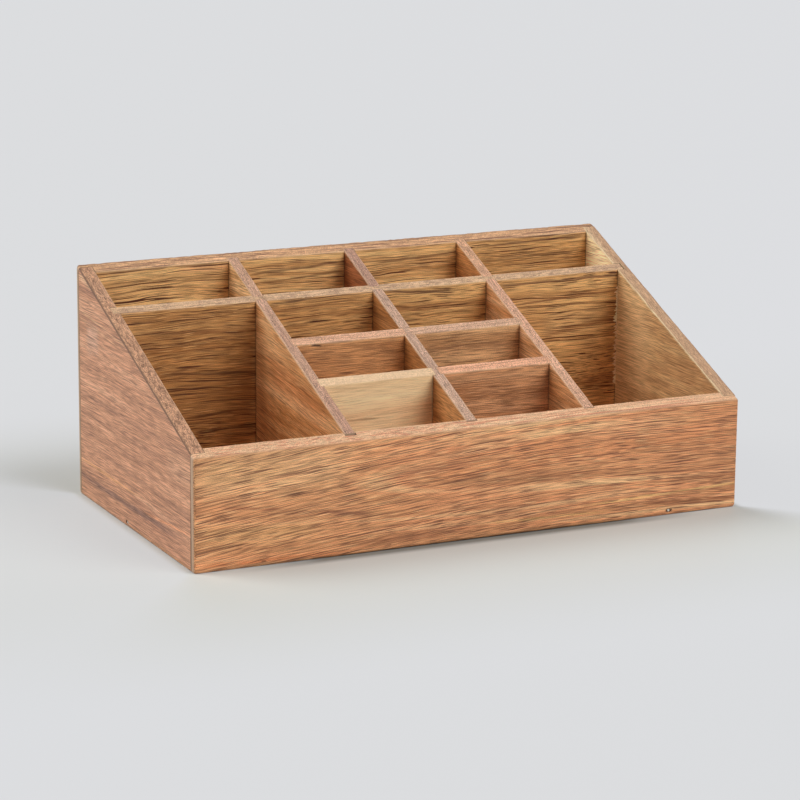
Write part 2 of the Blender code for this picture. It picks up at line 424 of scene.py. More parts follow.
def new_group(name: str, vector: str, numbers: tuple[str, ...],
              outputs: dict[str, str]) -> tuple[Graph, dict, dict]:
    """Make an empty shader node group with one vector input and several number inputs.

    Args:
        name: the group's name.
        vector: name of the vector input.
        numbers: names of the number inputs.
        outputs: name and kind (Float or Vector) of each output.

    Returns:
        The graph inside, the inputs' sockets and the outputs' sockets, by name.
    """
    tree = bpy.data.node_groups.new(name, "ShaderNodeTree")
    inputs = {vector: "Vector", **dict.fromkeys(numbers, "Float")}
    for direction, sockets in (("INPUT", inputs), ("OUTPUT", outputs)):
        for label, kind in sockets.items():
            tree.interface.new_socket(name=label, in_out=direction, socket_type=f"NodeSocket{kind}")
    graph = Graph(tree)
    start = graph.node("NodeGroupInput")
    end = graph.node("NodeGroupOutput")
    return graph, {n: start.outputs[n] for n in inputs}, {n: end.inputs[n] for n in outputs}


def values_of(source: Mark | Wood, labels: tuple[str, ...]) -> dict[str, float]:
    """Values for a group's inputs, from the fields that have their names."""
    return {label: getattr(source, label.lower().replace(" ", "_")) for label in labels}


class WoodShop:
    """Builds the shared node groups once and makes a material for each board.

    Swing multiplies warp and curl, and fray the noise on a mark's edge. Top level is the height
    that the figure drops per length on the top of a fore-and-aft board. Corner shade strength is
    the painted shade that darkens the corners, end share is that of the end grain's colour, matt
    and satin are the roughness of dark and of light fibres, and bump depth is in metres.
    """

    swing: float = 4.0
    fray: float = 1.7
    top_level: float = -0.33
    # Painted shade: how much the corners' colour is darkened
    corner_shade_strength: float = -0.42
    end_share: float = 0.85
    matt: float = 0.62
    satin: float = 0.48
    bump_depth: float = 0.0002

    def __init__(self) -> None:
        """Build the groups."""
        self.figure = self._figure_group()
        self.mark = self._mark_group()

    @staticmethod
    def _dashes(graph: Graph, place: Socket, crowd: Socket, reach: float) -> tuple[Socket, Socket]:
        """Cores of long cells, larger where they crowd.

        Args:
            graph: the group's graph.
            place: where to read the cells, in units of their length and width.
            crowd: how they crowd, 0 to 1.
            reach: mean half size of a core, as a share of its cell.

        Returns:
            The mask of the dark ones and the mask of the pale ones.
        """
        cell = graph.node("ShaderNodeTexVoronoi", {"Vector": place, "Scale": 1.0}).outputs
        size = graph.smooth(crowd, 0.30, 0.70, reach * 0.82, reach * 1.18)
        inside = graph.smooth(graph.math("DIVIDE", cell["Distance"], size), 1.0, 0.55)
        tone = graph.node("ShaderNodeSeparateColor", {0: cell["Color"]}).outputs[0]
        return (graph.times(inside, graph.smooth(tone, 0.35, 0.75)),
                graph.times(inside, graph.smooth(tone, 0.35, 0.15)))

    def _figure_group(self) -> bpy.types.NodeTree:
        """The pattern of the wood at a place along, up and through the board.

        The place is bent by slow noise and by a short curl. The root of its squared distances from
        the pith line gives the growth bands. Streaks, lines and fibres are noise drawn out along
        the grain, which climbs by tilt times the place plus sweep times its square. Pores and pale
        gleams are the cores of long cells.

        Returns:
            The node group.
        """
        graph, given, out = new_group("wood_figure", "Place", ("Seed", *FIGURE_INPUTS), {
            **dict.fromkeys(FIGURE_MASKS, "Float"), "Near": "Vector"})
        along, b, c = graph.split(given["Place"])
        a = graph.math("ADD", along, given["Seed"])
        straight = (a, b, c)
        slow = graph.noise(graph.drawn(straight, SWAY), output="Color")
        slow = graph.node("ShaderNodeSeparateColor", {0: slow}).outputs
        quick = graph.noise(graph.drawn(straight, CURL))
        calm = graph.less(1.0, graph.times(given["Calm"], graph.smooth(along, -0.10, 0.02)))
        bend = graph.times(given["Warp"], self.swing)
        curl = graph.times(graph.less(quick, 0.5), graph.times(given["Curl"], calm, self.swing))
        climb = graph.times(along, graph.fit(along, given["Sweep"], given["Tilt"]))
        b_ring = graph.math("ADD", b, graph.fit(graph.less(slow[0], 0.5), bend, curl))
        c_bent = graph.fit(graph.less(slow[1], 0.5), bend, c)
        rise = graph.less(b_ring, given["Pith Height"])
        away = graph.math("ADD", graph.fit(along, given["Drift"], given["Pith Depth"]), c_bent)
        ring = graph.math("SQRT", graph.fit(rise, rise, graph.times(away, away)))
        rings = graph.math("DIVIDE", ring, given["Band Width"])
        bent = (a, graph.less(b_ring, climb), c_bent)
        fibre = graph.noise(graph.drawn(bent, FIBRE), 1.0, 0.6)
        crowd = graph.noise(graph.drawn(bent, CROWD))
        short_dark, short_pale = self._dashes(graph, graph.drawn(bent, SHORT_DASH), crowd, 0.38)
        long_dark, long_pale = self._dashes(graph, graph.drawn(bent, LONG_DASH), crowd, 0.28)
        pore = graph.math("MAXIMUM", graph.times(short_dark, 0.8), graph.times(long_dark, 0.95))
        made = {
            "Band": graph.noise(graph.vector(graph.times(a, 5.0), rings, graph.times(rise, 9.0))),
            "Streak": graph.noise(graph.drawn(bent, STREAK)),
            "Line": graph.smooth(graph.noise(graph.drawn(bent, LINE), 0.0), *LINE_FADE),
            "Fibre": fibre, "Pore": pore, "Gleam": graph.math("MAXIMUM", short_pale, long_pale),
            "Blush": graph.noise(graph.drawn(straight, BLUSH)),
            "Speck": graph.noise(graph.drawn(straight, SPECK), 0.0),
            "Mottle": graph.noise(graph.drawn(straight, MOTTLE), 2.0, 0.65),
            "Height": graph.less(graph.times(fibre, 0.5), pore),
            "Near": graph.vector(along, graph.fit(curl, 0.8, b), c)}
        for name, socket in made.items():
            graph.tree.links.new(socket, out[name])
        return graph.tree

    def _mark_group(self) -> bpy.types.NodeTree:
        """A mask for one placed mark: 1 on its middle line, fading to 0 at its half sizes.

        Its edge is broken up by noise drawn out along the grain.

        Returns:
            The node group.
        """
        graph, given, out = new_group("grain_mark", "Near", MARK_INPUTS, {"Mask": "Float"})
        axes = graph.split(given["Near"])
        along = graph.less(axes[0], given["Along"])
        middle = graph.fit(along, given["Slope"], given["Height"])
        off = graph.math("ABSOLUTE", graph.less(axes[1], middle))
        leaned = graph.less(along, graph.times(axes[2], given["Lean"]))
        down = graph.math("DIVIDE", graph.math("ABSOLUTE", leaned), given["Half Length"])
        fray = graph.less(graph.noise(graph.drawn(axes, FRAY), 2.0, 0.7), 0.5)
        across = graph.fit(fray, self.fray, graph.math("DIVIDE", off, given["Half Width"]))
        depth = graph.math("DIVIDE", axes[2], given["Reach"])
        mask = graph.times(graph.smooth(across, 1.0, 0.25), graph.smooth(down, 1.0, 0.45),
                           graph.smooth(depth, 1.2, 0.8))
        graph.tree.links.new(mask, out["Mask"])
        return graph.tree

    def material(self, name: str, wood: Wood, run: Run, seed: int,
                 face: float) -> bpy.types.Material:
        """The oiled finish of one board.

        Args:
            name: the board's name.
            wood: how the board looks.
            run: the way that its grain follows.
            seed: picks its own part of the tree.
            face: place of its low face, from which the depth in the wood counts.

        Returns:
            The material.
        """
        made, graph, shader = new_material(f"wood_{name}")
        x, y, z = graph.split(graph.node("ShaderNodeTexCoord").outputs["Object"])
        along, through = (x, y) if run is Run.ALONG_X else (y, x)
        top, wear_and_highlight, painted_corner_shade, edge, end = (
            graph.node("ShaderNodeAttribute", attribute_name=label).outputs["Fac"]
            for label in ("top", "wear_and_highlight", "painted_corner_shade", "edge", "end"))
        level = 0.0 if run is Run.ALONG_X else self.top_level
        place = graph.vector(along, graph.fit(graph.times(top, level), along, z),
                             graph.less(through, face))
        out = graph.node("ShaderNodeGroup", node_tree=self.figure)
        graph.feed(out, {"Place": place, "Seed": 1.0 + seed * 0.37,
                         **values_of(wood, FIGURE_INPUTS)})
        out = out.outputs
        colour = graph.ramp(graph.smooth(out["Band"], *BAND_FADE), [
            (0.0, wood.deep), (0.36, wood.mid), (0.66, wood.warm), (1.0, wood.pale)])
        layers = [(graph.smooth(out["Blush"], *BLUSH_FADE, 0.0, 0.5), wood.warm)]
        for mark in wood.marks:
            mask = graph.node("ShaderNodeGroup", node_tree=self.mark)
            graph.feed(mask, {"Near": out["Near"], **values_of(mark, MARK_INPUTS)})
            layers.append((graph.times(mask.outputs[0], mark.strength), mark.colour))
        light = graph.math("MAXIMUM", graph.smooth(out["Streak"], *LIGHT_FADE, 0.0, wood.streak),
                           graph.times(out["Gleam"], wood.gleam))
        blot = graph.math("MAXIMUM", graph.smooth(out["Mottle"], *BLOT_FADE, 0.0, wood.mottle),
                          graph.smooth(out["Streak"], *RAY_FADE, 0.0, wood.top_streak))
        closed = graph.fit(top, -0.75, 1.0)
        layers += [(graph.smooth(out["Streak"], *DARK_FADE, 0.0, wood.streak), wood.deep),
                   (light, wood.pale),
                   (graph.times(top, wood.top_share), wood.top),
                   (graph.times(top, blot), wood.stain),
                   (graph.times(out["Line"], closed, wood.lines), wood.pore)]
        fleck = graph.fit(graph.smooth(out["Fibre"], *FLECK_FADE, -wood.fleck, wood.fleck),
                          graph.fit(top, -0.35, 1.0), graph.fit(top, 1.0 - wood.lift, wood.lift))
        speck = graph.smooth(out["Speck"], *SPECK_FADE, -wood.speck, wood.speck)
        colour = graph.shaded(graph.layered(colour, layers),
                              graph.fit(speck, graph.math("ADD", top, 1.0), fleck))
        # Arrises are lightened by wear and by a painted highlight.
        rubbed_highlight = graph.times(wear_and_highlight, graph.smooth(out["Streak"], *RUB_HIGHLIGHT_FADE, 0.15, 1.0))
        colour = graph.layered(colour, [
            (graph.times(out["Pore"], closed, wood.pores), wood.pore),
            (graph.times(rubbed_highlight, wood.wear_and_highlight_share), wood.arris),
            (graph.times(edge, wood.edge_share), wood.edge),
            (graph.times(end, self.end_share), wood.end)])
        bump = graph.node("ShaderNodeBump", {"Strength": 0.4, "Distance": self.bump_depth,
                                             "Height": out["Height"]})
        graph.feed(shader, {
            # The painted corner shade darkens the base colour here.
            "Base Color": graph.shaded(colour, graph.fit(painted_corner_shade, self.corner_shade_strength, 1.0)),
            "Roughness": graph.smooth(out["Fibre"], 0.2, 0.8, self.matt, self.satin),
            "Normal": bump.outputs[0], "Specular IOR Level": 0.35})
        return made


@dataclass(frozen=True)
class Row:
    """A line of points along a board, with its share of top, of wear and painted highlight, and of
    outer edge.
    """

    across: np.ndarray
    height: np.ndarray
    top: float = 0.0
    wear_and_highlight: float = 0.0
    edge: float = 0.0


@dataclass(frozen=True)
class Side:
    """One long face of a board at every station.

    Wall is its place across, and above and below are the depths that it is cut back above and
    below the housings' stop. Radius is that of its top arris and foot that of its lower arris.
    """

    wall: np.ndarray
    above: np.ndarray
    below: np.ndarray
    radius: np.ndarray
    foot: float
    inwards: float
    stepped: bool


@dataclass
class Board:
    """One board as a cross-section carried along its length, on a grid of stations and rows.

    Entries are places where its faces meet another board. Wear is how far the arrises wander, toe
    how far the foot of the low end is set in, and arch how far the foot's middle is lifted.
    """

    name: str
    run: Run
    along: Limits
    across: Limits
    bottom: float
    wood: Wood
    low_housings: tuple[Housing, ...] = ()
    high_housings: tuple[Housing, ...] = ()
    outer: Outer = Outer.NONE
    rounded_ends: bool = False
    low_foot: float = 0.0002
    high_foot: float = 0.0002
    arris: float = INNER_ARRIS
    outer_arris: float = 0.0009
    wear: float = 0.45
    entries: tuple[float, ...] = ()
    toe: float = 0.0
    arch: float = 0.0
    step: float = 0.0008
    seed: int = 1
    slot: str = "wood_dividers"
    arc: int = 4
    face_rows: int = 5
    top_rows: int = 4
    bore: bpy.types.Object | None = None

    def _stations(self) -> np.ndarray:
        """Places along the board: even steps, close ones at rounded ends and pairs at housings.

        Returns:
            The places in order, in metres.
        """
        low, high = self.along
        count = int(round((high - low) / self.step))
        places = np.linspace(low, high, count + 1)
        if self.rounded_ends:
            swing = EDGE_ROUND * (1 - np.cos(np.linspace(0, pi / 2, 7)))
            inside = (places > low + EDGE_ROUND * 1.05) & (places < high - EDGE_ROUND * 1.05)
            places = np.concatenate([low + swing, places[inside], high - swing])
        pairs = []
        for housing in (*self.low_housings, *self.high_housings):
            for edge in (housing.start, housing.end):
                pairs += [edge - NOOK, edge - LEDGE, edge + LEDGE, edge + NOOK]
        for entry in self.entries:
            pairs += [entry - NOOK, entry, entry + NOOK]
        pairs = np.unique(np.round([p for p in pairs if low + 0.0002 < p < high - 0.0002], 6))
        if len(pairs):
            near = np.abs(places[:, None] - pairs[None, :]).min(axis=1)
            places = np.concatenate([places[near > LEAST_STEP], pairs])
        return np.sort(places)

    @staticmethod
    def _shade(places: np.ndarray, housings: tuple[Housing, ...],
               entries: tuple[float, ...]) -> np.ndarray:
        """Share of painted shade in the corners at each station.

        It falls from 1 at a housing's edge, or where the board enters another, to 0 at 0.7 mm.

        Args:
            places: the stations.
            housings: the housings of one face.
            entries: places where the face meets another board.

        Returns:
            One share for each station.
        """
        off = [np.maximum(housing.start - places, places - housing.end) for housing in housings]
        off += [np.abs(places - entry) for entry in entries]
        return np.max([0 * places, *(np.clip(1 - gap / NOOK, 0, 1) for gap in off)], axis=0)

    def _plane(self, places: np.ndarray, across: np.ndarray) -> np.ndarray:
        """Height of the sloping top at a station and a place across the board."""
        return plane_height(across if self.run is Run.ALONG_X else places + 0 * across)

    def _side(self, places: np.ndarray, side: Outer, end: np.ndarray) -> Side:
        """Lay out one long face, with a top arris that wanders and is chipped here and there.

        The wander is ripples of 11 and 2.1 mm, and a chip stands where one of 3.2 mm passes 0.72.

        Args:
            places: the stations.
            side: which face.
            end: how far the round of the ends sets an outer face in.

        Returns:
            The face.
        """
        low = side is Outer.LOW
        housings = self.low_housings if low else self.high_housings
        above, below = np.zeros_like(places), np.zeros_like(places)
        for housing in housings:
            inside = (places > housing.start) & (places < housing.end)
            above[inside] = housing.depth
            below[inside] = below[inside] if housing.stopped else housing.depth
        base = self.outer_arris if self.outer is side else self.arris
        seed = self.seed + (11 if low else 23)
        wander = 0.6 * ripple(places, 0.011, seed) + 0.4 * ripple(places, 0.0021, seed + 1)
        wander = np.abs(wander) if base >= EDGE_ROUND else wander
        chips = np.clip(ripple(places, 0.0032, seed + 2) - 0.72, 0, 1) * 1.6
        grown = base * (1 + self.wear * wander) + INNER_ARRIS * chips
        inwards = 1.0 if low else -1.0
        wall = self.across[0 if low else 1] + inwards * (end if self.outer is side else 0 * end)
        return Side(wall, above, below, np.where(above > 0, HOUSING_ARRIS, grown),
                    self.low_foot if low else self.high_foot, inwards,
                    any(housing.stopped for housing in housings))

    def _face(self, places: np.ndarray, side: Side, end: np.ndarray) -> list[Row]:
        """Rows of one face, from its foot up to the top.

        An arris is a quarter turn: its point at angle q lies r(1 - cos q) in from the face and
        r(1 - sin q) below the top.

        Args:
            places: the stations.
            side: the face.
            end: how far the round of the ends lowers the top and lifts the foot.

        Returns:
            The rows in order.
        """
        outside = side.foot > 0.001
        # Share of wear and painted highlight on the arrises, less on outer faces.
        rub_highlight = 0.3 if outside else 1.0
        swing = np.linspace(0, pi / 2, self.arc + 1)
        floor = self.bottom + end
        rows = [Row(side.wall + side.inwards * (side.below + side.foot * (1 - np.sin(angle))),
                    floor + side.foot * (1 - np.cos(angle)), wear_and_highlight=rub_highlight) for angle in swing]
        lower = side.wall + side.inwards * side.below
        inner = side.wall + side.inwards * side.above
        rows.append(Row(lower, floor + side.foot + NOOK))
        start = floor + side.foot + FOOT_ROW
        if side.stepped:
            stop = 0 * side.wall + HOUSING_STOP
            rows += [Row(lower, stop - LEDGE), Row(inner, stop + LEDGE)]
            start = stop + STOP_ROW
        crest = self._plane(places, inner) - end - side.radius
        rows += [Row(inner, start + (crest - NOOK - start) * share)
                 for share in np.linspace(0, 1, self.face_rows)]
        for angle in swing:
            t = inner + side.inwards * side.radius * (1 - np.cos(angle))
            z = self._plane(places, t) - end - side.radius * (1 - np.sin(angle))
            line = 0.0 if not outside else 0.5 if angle in (swing[0], swing[-1]) else 1.0
            rows.append(Row(t, z, float(np.sin(angle) ** 2), rub_highlight, line))
        return rows

    def _rows(self, places: np.ndarray) -> list[Row]:
        """The cross-section at every station, as rows that run along the whole board.

        They climb the low face, cross the top, go down the high face and return under the board.

        Args:
            places: the stations.

        Returns:
            The rows in order.
        """
        end = np.zeros_like(places)
        if self.rounded_ends:
            near = np.minimum(places - self.along[0], self.along[1] - places)
            depth = np.clip(EDGE_ROUND - near, 0, EDGE_ROUND)
            end = EDGE_ROUND - np.sqrt(EDGE_ROUND ** 2 - depth ** 2)
        low, high = (self._face(places, self._side(places, side, end), end)
                     for side in (Outer.LOW, Outer.HIGH))
        left, right = low[-1].across, high[-1].across
        margin = np.minimum(TOP_MARGIN, (right - left) * 0.2)
        top = [Row(t, self._plane(places, t) - end, 1.0)
               for t in (left + margin + (right - left - 2 * margin) * share
                         for share in np.linspace(0, 1, self.top_rows))]
        left, right = low[0].across, high[0].across
        under = [Row(left + (right - left) * share, self.bottom + end) for share in (0.75, 0.25)]
        return [*low, *top, *high[::-1], *under]

    def _settle(self, s: np.ndarray, z: np.ndarray) -> tuple[np.ndarray, np.ndarray]:
        """Set in the low end's foot by the toe and lift the foot's middle by the arch.

        The toe fades over 4 mm of length and from 6.5 to 9 mm of height. The arch is its size
        times (1 - u^2)^2, where u is the distance from its middle over its half length, and fades
        out at 12 mm of height.

        Args:
            s: places along the board.
            z: heights.

        Returns:
            Both, moved.
        """
        if self.toe:
            near = np.clip(1 - (s - self.along[0]) / 0.004, 0, 1)
            s = s + self.toe * near * np.clip((0.0090 - z) / 0.0025, 0, 1)
        if self.arch:
            middle, half = 0.005, 0.095
            bend = np.clip(1 - ((s - middle) / half) ** 2, 0, 1) ** 2
            z = z + self.arch * bend * np.clip(1 - z / 0.012, 0, 1)
        return s, z

    def _paint(self, mesh: bpy.types.Mesh, places: np.ndarray, rows: list[Row]) -> None:
        """Write the shares that the finish reads: top, wear, outer edge, corner shade, end grain.

        The highlight on the wear and the shade in the corners are painted into the colour. A face is
        end grain in full where 0.92 of its normal points along the board.

        Args:
            mesh: the board's mesh.
            places: the stations.
            rows: the cross-section.
        """
        for label in ("top", "wear_and_highlight", "edge"):
            shares = np.array([getattr(row, label) for row in rows], np.float32)
            layer = mesh.attributes.new(label, "FLOAT", "POINT")
            layer.data.foreach_set("value", np.tile(shares, len(places)))
        section = np.array([row.across[len(places) // 2] for row in rows])
        low = section < (self.across[0] + self.across[1]) / 2
        face = np.array([row.top for row in rows]) < 0.5
        # Painted shade along the housings and where the board enters another.
        painted_corner_shade = np.zeros((len(places), len(rows)), np.float32)
        for side, housings, chosen in ((Outer.LOW, self.low_housings, low),
                                       (Outer.HIGH, self.high_housings, ~low)):
            entries = () if self.outer is side else self.entries
            painted_corner_shade += (chosen & face)[None, :] * self._shade(places, housings, entries)[:, None]
        mesh.attributes.new("painted_corner_shade", "FLOAT", "POINT").data.foreach_set("value", painted_corner_shade.ravel())
        normals = np.empty(len(mesh.polygons) * 3, np.float32)
        mesh.polygons.foreach_get("normal", normals)
        facing = np.abs(normals.reshape(-1, 3)[:, 0 if self.run is Run.ALONG_X else 1])
        end = np.clip((facing - 0.75) / 0.17, 0, 1).astype(np.float32)
        mesh.attributes.new("end", "FLOAT", "FACE").data.foreach_set("value", end)

    def build(self, shop: WoodShop) -> bpy.types.Object:
        """Make the board's mesh, dress it and let it stand for its node.

        Args:
            shop: makes the wood.

        Returns:
            The finished piece.
        """
        places = self._stations()
        rows = self._rows(places)
        t = np.stack([row.across for row in rows], 1)
        stations, count = t.shape
        s, z = self._settle(np.repeat(places[:, None], count, 1),
                            np.stack([row.height for row in rows], 1))
        x, y = (s, t) if self.run is Run.ALONG_X else (t, s)
        points = np.stack([x, y, z], 2).reshape(-1, 3)
        quads = ring_quads(stations, count)
        faces = [*quads.reshape(-1, 4).tolist(), list(range(count))[::-1],
                 [(stations - 1) * count + i for i in range(count)]]
        corner, second, third = (points[quads[..., i]] for i in range(3))
        outward = float(np.einsum("...k,...k", corner, np.cross(second, third)).sum())
        if outward < 0:
            faces = [face[::-1] for face in faces]
        mesh = new_mesh(self.name, points, faces)
        mesh.shade_smooth()
        mesh.set_sharp_from_angle(angle=SHARP_ANGLE)
        mesh.materials.append(
            shop.material(self.name, self.wood, self.run, self.seed, self.across[0]))
        self._paint(mesh, places, rows)
        piece = new_object(f"{self.name}_board", mesh)
        if self.bore is not None:
            self._drill(piece)
        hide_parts(self.name)
        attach(piece, "root")
        return piece

    def _drill(self, piece: bpy.types.Object) -> None:
        """Cut the pin holes out of a finished board.

        Args:
            piece: the board.
        """
        modifier = piece.modifiers.new("pin_holes", "BOOLEAN")
        modifier.operation = "DIFFERENCE"
        modifier.solver = "EXACT"
        modifier.object = self.bore
        bpy.context.view_layer.update()
        solved = piece.evaluated_get(bpy.context.evaluated_depsgraph_get())
        cut = bpy.data.meshes.new_from_object(solved)
        cut.set_sharp_from_angle(angle=SHARP_ANGLE)
        piece.modifiers.clear()
        piece.data = cut


@dataclass
class PinHoles:
    """The holes round the wire pins, torn wider along the grain at the face."""

    mouth_along: float = 0.00175
    mouth_up: float = 0.00095
    bore: float = 0.00095
    flare_depth: float = 0.0009
    reach: float = 0.0190
    sides: int = 28
    covered: str = "pin_front_left"

    def cutter(self) -> bpy.types.Object:
        """One object with a cutter for each open pin: an oval mouth that narrows to a round bore.

        Ring i lies at a distance in from the face, with half sizes across and up; its points are
        half sizes times the cosine and sine of the angle.

        Returns:
            The hidden cutter.
        """
        depth = np.array([-0.0010, 0.0, self.flare_depth * 0.6, self.flare_depth, self.reach])
        flare = np.array([1.1, 1.0, 0.85, 0.0, 0.0])
        wide = flare * (self.mouth_along - self.bore) + self.bore
        tall = flare * (self.mouth_up - self.bore) + self.bore
        angle = np.linspace(0, 2 * pi, self.sides, endpoint=False)
        rings, faces = [], []
        for node in sorted(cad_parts):
            if not node.startswith("pin_") or node == self.covered:
                continue
            low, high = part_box(node)
            middle = np.array((Vector(low) + Vector(high)) / 2)
            axis = 1 if high[1] - low[1] > high[0] - low[0] else 0
            sign = -1.0 if middle[axis] > 0 else 1.0
            ring = np.zeros((len(depth), self.sides, 3))
            ring[..., axis] = (-sign * (WIDTH, DEPTH)[axis] / 2 + sign * depth)[:, None]
            ring[..., 1 - axis] = middle[1 - axis] + wide[:, None] * np.cos(angle)[None, :]
            ring[..., 2] = middle[2] + tall[:, None] * np.sin(angle)[None, :]
            base = len(rings) * len(depth) * self.sides
            rings.append(ring)
            last = base + (len(depth) - 1) * self.sides
            block = [*(base + ring_quads(len(depth), self.sides)).reshape(-1, 4).tolist(),
                     [base + i for i in range(self.sides)][::-1],
                     [last + i for i in range(self.sides)]]
            turned = (axis == 1) == (sign > 0)
            faces += [face[::-1] for face in block] if turned else block
        made = new_object("pin_holes", new_mesh("pin_holes", np.concatenate(rings), faces))
        made.hide_render = True
        made.display_type = "WIRE"
        return made


def marks(*rows: tuple, reach: float = 0.1) -> tuple[Mark, ...]:
    """Marks from plain rows.

    Args:
        rows: place, height, half length and half width in millimetres, colour, strength and, where
            there is one, slope and lean.
        reach: how deep they go, in metres.

    Returns:
        The marks in order.
    """
    return tuple(Mark(*(size / 1000 for size in row[:4]), *row[4:], reach=reach)
                 for row in rows)


# Painted shade: dark ovals over the pin holes' mouths, darkening the walls of the holes.
PIN_HOLE_SHADE = marks((-110.4, 2.5, 2.4, 1.1, (64, 41, 27), 0.8),
                  (110.4, 2.5, 2.4, 1.1, (64, 41, 27), 0.9))
FRONT_PART = {"mottle": 0.25, "streak": 0.15, "speck": 0.25, "pores": 0.42}
FRONT_WOOD = Wood(
    deep=(178, 116, 77), mid=(203, 143, 98), warm=(219, 148, 102), pale=(236, 189, 138),
    pore=(103, 63, 46), top=(222, 184, 147), pith_height=0.036, pith_depth=0.0088, drift=-0.08,
    tilt=0.055, sweep=-0.26, band_width=0.005, warp=0.0012, curl=0.00022, calm=0.8, streak=0.21,
    lines=0.75, pores=1.0, edge=(191, 139, 99), edge_share=0.5, speck=0.13, mottle=0.1,
    top_streak=0.75, stain=(198, 127, 96), lift=1.05,
    marks=marks(
        (-108, 47, 52, 17, (245, 204, 154), 0.38), (-85, 24, 30, 8, (150, 93, 63), 0.25),
        (-60, 34, 22, 6, (170, 99, 67), 0.2), (0, 48, 35, 8, (206, 128, 85), 0.35),
        (10, 36, 45, 7, (223, 144, 94), 0.4), (85, 48, 35, 8, (237, 182, 136), 0.3),
        (125, 30, 30, 12, (158, 99, 65), 0.25), (25, 12, 45, 7, (145, 91, 61), 0.3),
        (-100, 40, 70, 60, (221, 166, 114), 0.25),
        (-108.8, 38.4, 18.6, 0.9, (233, 185, 134), 0.7, 0.106),
        (-89.9, 43.3, 28, 1, (233, 185, 134), 0.7, 0.18),
        (-103.6, 46.2, 15.1, 0.8, (231, 182, 132), 0.6, 0.202),
        (-27, 38.5, 30.8, 3.2, (156, 98, 70), 0.6, 0.026),
        (-118.9, 29.1, 23.1, 1.3, (159, 94, 62), 0.6, -0.142),
        (-71.1, 21.7, 18, 1.6, (142, 88, 64), 0.7, -0.151),
        (-35, 5.6, 42.3, 3.2, (154, 94, 64), 0.55, 0.022),
        (-110.2, 2.9, 56.5, 1.8, (206, 117, 68), 0.6, -0.03),
        (37.4, 37.5, 13.3, 0.5, (100, 58, 36), 0.9, 0.078),
        (91.1, 37.6, 14.5, 0.4, (91, 54, 35), 0.9, -0.031),
        (107.8, 11.7, 58.5, 0.9, (231, 187, 121), 0.7, 0.029),
        (122.1, 6.4, 38.8, 1.6, (132, 80, 51), 0.7, -0.047),
        (31.8, 6.6, 9.5, 0.8, (83, 56, 40), 0.8, 0.07),
        (38.6, 6.9, 42.8, 1, (231, 180, 116), 0.6, -0.024),
        (87, 41.5, 82.7, 9, (208, 133, 86), 0.4, -0.027),
        (26, 27.7, 39.8, 5, (168, 116, 79), 0.5, -0.056),
        (-124.7, 49, 33, 8, (210, 160, 110), 0.5, -0.007),
        (-118.8, 16.1, 40.7, 7, (212, 162, 108), 0.5, -0.034),
        (-37.7, 41.7, 45.3, 7, (206, 139, 94), 0.4, -0.046),
        (21.9, 33.8, 34.3, 0.7, (132, 76, 49), 0.7, 0.034),
        (7.8, 49.3, 15.7, 0.5, (113, 71, 46), 0.7, 0.05), (-114, 2.4, 1.6, 0.7, (91, 60, 42), 0.7))
    + PIN_HOLE_SHADE[1:])
BACK_WOOD = Wood(
    deep=(176, 126, 73), mid=(209, 157, 99), warm=(225, 175, 113), pale=(242, 197, 133),
    pore=(88, 49, 26), top=(220, 172, 133), edge=(127, 90, 66), edge_share=0.7, mottle=0.35,
    top_streak=0.9, stain=(118, 81, 62), lift=1.13, band_width=0.0034, streak=0.22, speck=0.14,
    curl=0.00042, lines=1.0, pores=0.65,
    marks=marks(
        (-104, 100, 45, 50, (238, 190, 127), 0.5), (108, 100, 45, 50, (184, 133, 77), 0.65),
        (-103.9, 117.3, 48.8, 0.8, (115, 78, 48), 0.75, -0.002),
        (-103.4, 110.6, 48.1, 1.6, (156, 113, 68), 0.6, 0.001),
        (-82, 115.2, 19.2, 2, (223, 155, 110), 0.5, 0.014),
        (-30.7, 111.2, 35.6, 1, (105, 69, 41), 0.8, 0.053),
        (-29.3, 106.2, 33.7, 0.8, (115, 78, 45), 0.7, 0.06),
        (37.4, 111.5, 31.2, 1, (105, 67, 39), 0.7, 0.064),
        (108, 115.2, 43, 0.8, (105, 69, 45), 0.7, 0.021),
        (108.8, 107.2, 42.3, 1, (125, 85, 48), 0.6, 0.029))
    + PIN_HOLE_SHADE)
LEFT_WOOD = Wood(
    deep=(178, 128, 100), mid=(195, 141, 108), warm=(203, 147, 114), pale=(216, 164, 130),
    pore=(97, 59, 43), top=(193, 151, 119), edge=(96, 66, 49), edge_share=0.85, mottle=0.65,
    stain=(120, 85, 64), fleck=0.38, speck=0.23, lift=1.05, tilt=-0.02, band_width=0.0055,
    warp=0.001, curl=0.00013, streak=0.12, lines=0.35, pores=0.55, top_share=0.65,
    marks=marks(
        (-30, 13, 50, 9, (140, 94, 75), 0.38), (-64, 48, 22, 10, (225, 177, 142), 0.3),
        (8.9, 11.9, 78.1, 2.2, (120, 89, 78), 0.75, -0.019),
        (37.7, 19.9, 56.9, 1.2, (224, 163, 111), 0.7, -0.002),
        (-46.3, 16.2, 37.2, 1, (227, 154, 109), 0.7, -0.071),
        (70.5, 11.6, 13.2, 0.8, (104, 73, 62), 0.8, 0.036),
        (41.8, 95.5, 46.7, 0.9, (227, 179, 138), 0.7, 0.086),
        (49.3, 92.4, 36.8, 0.6, (227, 179, 138), 0.6, 0.07),
        (43.2, 95.2, 44.9, 0.5, (142, 92, 73), 0.7, 0.036),
        (66, 114.3, 12.9, 2.2, (231, 188, 147), 0.6, 0.162),
        # The whitish patch at 56.9 mm is a painted sheen on the upper rear of the outer face.
        (56.9, 86.8, 11, 10, (214, 183, 164), 0.3, -0.143),
        (-33, 1.3, 58.2, 1.3, (219, 154, 104), 0.6, -0.001),
        (-2.6, 1.4, 80, 6, (169, 122, 96), 0.4, -0.034),
        (53, 110.6, 6, 1.2, (101, 61, 43), 0.8, 0.403, -8.8),
        # Painted shade over the mouth of this side's pin hole.
        (10, 2.5, 2.4, 1.1, (66, 42, 28), 0.8)))
